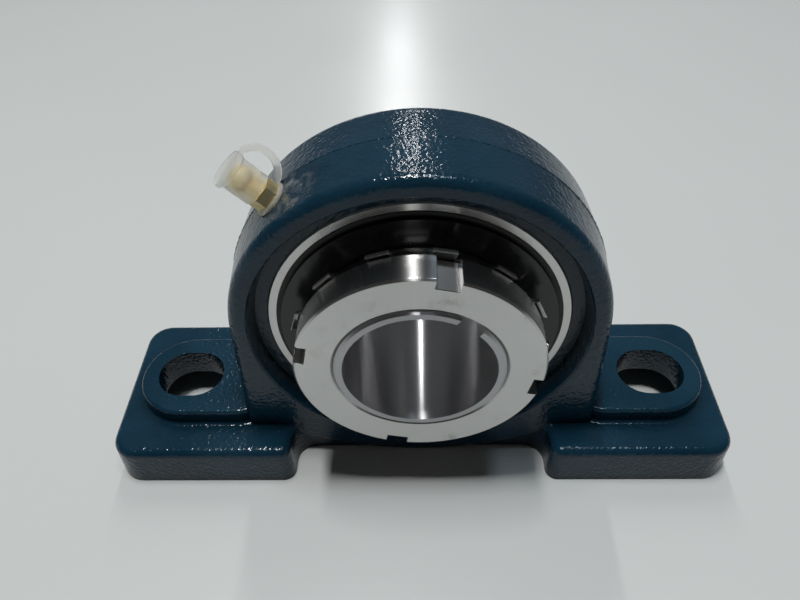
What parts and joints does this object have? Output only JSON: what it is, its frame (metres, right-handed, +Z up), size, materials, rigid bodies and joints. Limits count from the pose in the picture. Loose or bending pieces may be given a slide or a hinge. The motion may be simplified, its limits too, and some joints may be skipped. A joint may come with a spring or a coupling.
{
  "type": "pillow block bearing",
  "caption": "Cast pillow block with a self-aligning ball bearing on an adapter sleeve, with lock nut, lock washer and grease fitting.",
  "frame": {"origin": "bearing centre on the shaft axis, 54 mm above the base", "axes": "+Z up, +Y along the shaft away from the lock nut, +X along the base to the right of someone who faces the nut"},
  "size_m": [0.189, 0.0552, 0.106],
  "materials": {
    "housing_paint": "glossy dark teal-blue enamel over a cast skin",
    "ring_steel": "ground bearing steel",
    "ball_steel": "polished",
    "cage_steel": "pressed sheet",
    "seal_rubber": "black nitrile",
    "slinger_steel": "black satin",
    "sleeve_steel": "machined and polished bore",
    "washer_steel": "pressed sheet",
    "nut_steel": "bright plated, turned face",
    "brass": "turned",
    "spring_steel": "drawn wire",
    "cap_plastic": "milky translucent polyethylene"
  },
  "bodies": {
    "housing": {"housing": "housing_paint", "grease_fitting": "brass", "fitting_spring": "spring_steel", "cap_strap": "cap_plastic"},
    "outer_ring": {"outer_ring": "ring_steel", "seal_front": "seal_rubber", "seal_rear": "seal_rubber"},
    "inner_ring": {"inner_ring": "ring_steel", "slinger_front": "slinger_steel", "slinger_rear": "slinger_steel", "adapter_sleeve": "sleeve_steel", "lock_washer": "washer_steel", "lock_nut": "nut_steel"},
    "cage": {"cage_front": "cage_steel", "cage_rear": "cage_steel", "cage_rivets": "cage_steel"},
    "ball_1": {"ball_1": "ball_steel"},
    "ball_2": {"ball_2": "ball_steel"},
    "ball_3": {"ball_3": "ball_steel"},
    "ball_4": {"ball_4": "ball_steel"},
    "ball_5": {"ball_5": "ball_steel"},
    "ball_6": {"ball_6": "ball_steel"},
    "ball_7": {"ball_7": "ball_steel"},
    "ball_8": {"ball_8": "ball_steel"},
    "ball_9": {"ball_9": "ball_steel"},
    "dust_cap": {"dust_cap": "cap_plastic"},
    "check_ball": {"fitting_check_ball": "ball_steel"}
  },
  "joints": [
    {"name": "alignment", "type": "hinge", "parent": "housing", "child": "outer_ring", "pos_m": [0, 0, 0], "axis": [1, 0, 0], "range_deg": [-2, 2]},
    {"name": "shaft_spin", "type": "hinge", "parent": "outer_ring", "child": "inner_ring", "pos_m": [0, 0, 0], "axis": [0, 1, 0], "continuous": true},
    {"name": "cage_spin", "type": "hinge", "parent": "outer_ring", "child": "cage", "pos_m": [0, 0, 0], "axis": [0, 1, 0], "continuous": true},
    {"name": "ball_1_spin", "type": "hinge", "parent": "cage", "child": "ball_1", "pos_m": [0, 0, 0.0325], "axis": [0, 1, 0], "continuous": true},
    {"name": "ball_2_spin", "type": "hinge", "parent": "cage", "child": "ball_2", "pos_m": [0.02089, 0, 0.0249], "axis": [0, 1, 0], "continuous": true},
    {"name": "ball_3_spin", "type": "hinge", "parent": "cage", "child": "ball_3", "pos_m": [0.03201, 0, 0.00564], "axis": [0, 1, 0], "continuous": true},
    {"name": "ball_4_spin", "type": "hinge", "parent": "cage", "child": "ball_4", "pos_m": [0.02815, 0, -0.01625], "axis": [0, 1, 0], "continuous": true},
    {"name": "ball_5_spin", "type": "hinge", "parent": "cage", "child": "ball_5", "pos_m": [0.01112, 0, -0.03054], "axis": [0, 1, 0], "continuous": true},
    {"name": "ball_6_spin", "type": "hinge", "parent": "cage", "child": "ball_6", "pos_m": [-0.01112, 0, -0.03054], "axis": [0, 1, 0], "continuous": true},
    {"name": "ball_7_spin", "type": "hinge", "parent": "cage", "child": "ball_7", "pos_m": [-0.02815, 0, -0.01625], "axis": [0, 1, 0], "continuous": true},
    {"name": "ball_8_spin", "type": "hinge", "parent": "cage", "child": "ball_8", "pos_m": [-0.03201, 0, 0.00564], "axis": [0, 1, 0], "continuous": true},
    {"name": "ball_9_spin", "type": "hinge", "parent": "cage", "child": "ball_9", "pos_m": [-0.02089, 0, 0.0249], "axis": [0, 1, 0], "continuous": true},
    {"name": "cap_pull", "type": "slide", "parent": "housing", "child": "dust_cap", "axis": [-0.6947, 0, 0.7193], "range_m": [0, 0.012], "deforming": ["cap_strap"]},
    {"name": "check_ball_lift", "type": "slide", "parent": "housing", "child": "check_ball", "axis": [0.6947, 0, -0.7193], "range_m": [0, 0.001], "stiffness_N_per_m": 200, "springref_m": -0.001, "deforming": ["fitting_spring"]}
  ],
  "couplings": [
    {"joint": "cage_spin", "follows": "shaft_spin", "ratio": 0.40231},
    {"joint": "ball_1_spin", "follows": "shaft_spin", "ratio": -2.4614},
    {"joint": "ball_2_spin", "follows": "shaft_spin", "ratio": -2.4614},
    {"joint": "ball_3_spin", "follows": "shaft_spin", "ratio": -2.4614},
    {"joint": "ball_4_spin", "follows": "shaft_spin", "ratio": -2.4614},
    {"joint": "ball_5_spin", "follows": "shaft_spin", "ratio": -2.4614},
    {"joint": "ball_6_spin", "follows": "shaft_spin", "ratio": -2.4614},
    {"joint": "ball_7_spin", "follows": "shaft_spin", "ratio": -2.4614},
    {"joint": "ball_8_spin", "follows": "shaft_spin", "ratio": -2.4614},
    {"joint": "ball_9_spin", "follows": "shaft_spin", "ratio": -2.4614}
  ]
}
